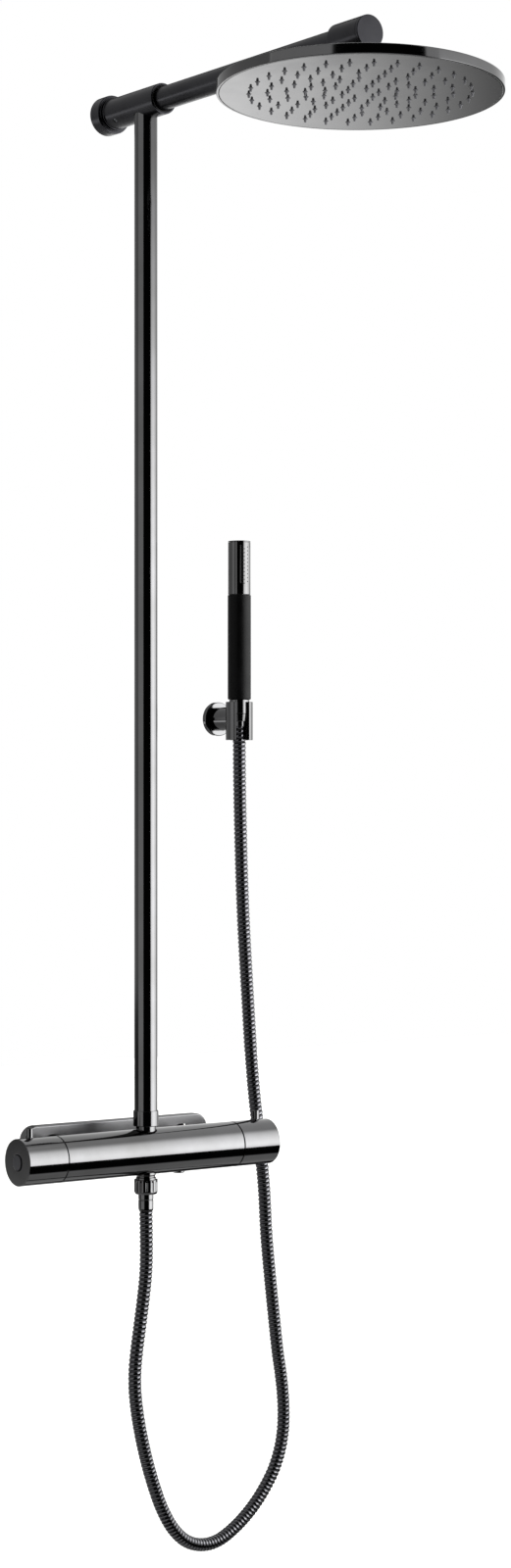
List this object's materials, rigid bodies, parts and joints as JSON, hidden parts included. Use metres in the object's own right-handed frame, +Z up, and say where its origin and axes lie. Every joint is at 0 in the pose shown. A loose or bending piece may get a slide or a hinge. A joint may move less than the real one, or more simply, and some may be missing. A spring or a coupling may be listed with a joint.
{
  "type": "rainfall shower column",
  "caption": "Wall-mounted shower column: bar mixer with two handles, riser, arm with round tilting rain head, and a stick handset on a hose in a slotted holder.",
  "frame": {"origin": "on the wall plane, level with the mixer's axis and midway between its inlets", "axes": "+Z up; -Y out of the wall towards the user; +X to the right when facing the wall"},
  "size_m": [0.3486, 0.5187, 1.4152],
  "materials": {
    "black_chrome": "polished black chrome plating on brass, mirror gloss",
    "black_satin": "black chrome plating, slightly satin",
    "hose_metal": "dark spiral-wound metal strip, bright",
    "grip": "matte black moulded grip",
    "brass": "bare machined brass",
    "steel": "stainless steel",
    "rubber": "matte black seal rubber",
    "silicone": "dark silicone",
    "nylon": "natural moulded nylon"
  },
  "bodies": {
    "column": {"mounting_bracket": "steel", "wall_plate": "black_chrome", "bracket_screw_left": "steel", "bracket_screw_right": "steel", "inlet_connector_left": "brass", "inlet_connector_right": "brass", "inlet_nut_left": "black_chrome", "inlet_nut_right": "black_chrome", "inlet_gasket_left": "rubber", "inlet_gasket_right": "rubber", "check_valve_left": "nylon", "check_valve_right": "nylon", "mixer_body": "black_chrome", "thermostat_cartridge": "brass", "temperature_stop_ring": "nylon", "diverter_cartridge": "brass", "flow_stop_ring": "nylon", "service_plug": "black_chrome", "riser_spigot": "black_chrome", "riser_nut": "black_chrome", "riser_seal": "rubber", "riser_pipe": "black_chrome", "hose_spigot": "black_chrome", "hose_gasket_lower": "rubber", "hose_nut_lower": "black_chrome", "hose_ferrule_lower": "black_chrome", "hose": "hose_metal", "wall_bracket": "steel", "wall_bracket_screw": "steel", "wall_flange": "black_satin", "tee_body": "black_satin", "tee_grub_screw": "steel", "arm_seal": "rubber", "arm_tube": "black_satin", "arm_end_block": "black_satin", "arm_end_cap": "black_satin", "ball_stem": "black_chrome", "holder_flange": "black_chrome", "holder_stud": "steel", "holder_body": "black_chrome", "holder_grub_screw": "steel"},
    "temperature_control": {"temperature_handle": "black_chrome", "temperature_pin": "black_chrome", "button_spring": "steel"},
    "button": {"safety_button": "black_satin"},
    "flow_control": {"flow_handle": "black_chrome", "flow_pin": "black_chrome"},
    "ball_ring": {"ball_seal": "rubber"},
    "rain_head": {"ball_nut": "black_chrome", "head_shell": "black_chrome", "head_face_plate": "black_chrome", "nozzle_mat": "silicone"},
    "hose_end": {"hose_cone_nut": "black_chrome", "hose_ferrule_upper": "black_chrome", "hose_gasket_upper": "rubber"},
    "handset": {"handset_core": "black_chrome", "handset_grip": "grip", "handset_head": "black_chrome", "handset_cap": "black_chrome", "spray_sleeve": "silicone"}
  },
  "joints": [
    {"name": "temperature_turn", "type": "hinge", "parent": "column", "child": "temperature_control", "pos_m": [-0.12, -0.068, 0], "axis": [-1, 0, 0], "range_deg": [-130, 130]},
    {"name": "safety_press", "type": "slide", "parent": "temperature_control", "child": "button", "axis": [1, 0, 0], "range_m": [0, 0.0025], "stiffness_N_per_m": 400, "springref_m": -0.001, "deforming": ["button_spring"]},
    {"name": "flow_turn", "type": "hinge", "parent": "column", "child": "flow_control", "pos_m": [0.12, -0.068, 0], "axis": [1, 0, 0], "range_deg": [-90, 90]},
    {"name": "head_tilt_front", "type": "hinge", "parent": "column", "child": "ball_ring", "pos_m": [0, -0.3932, 0.9705], "axis": [1, 0, 0], "range_deg": [-8.5, 11]},
    {"name": "head_tilt_side", "type": "hinge", "parent": "ball_ring", "child": "rain_head", "pos_m": [0, -0.3932, 0.9705], "axis": [0, 1, 0], "range_deg": [-11, 8.5]},
    {"name": "handset_lift", "type": "slide", "parent": "column", "child": "hose_end", "axis": [0, 0, 1], "range_m": [0, 0.045], "deforming": ["hose"]},
    {"name": "handset_turn", "type": "hinge", "parent": "hose_end", "child": "handset", "pos_m": [0.1326, -0.0387, 0.5], "axis": [0, 0, 1], "continuous": true}
  ]
}
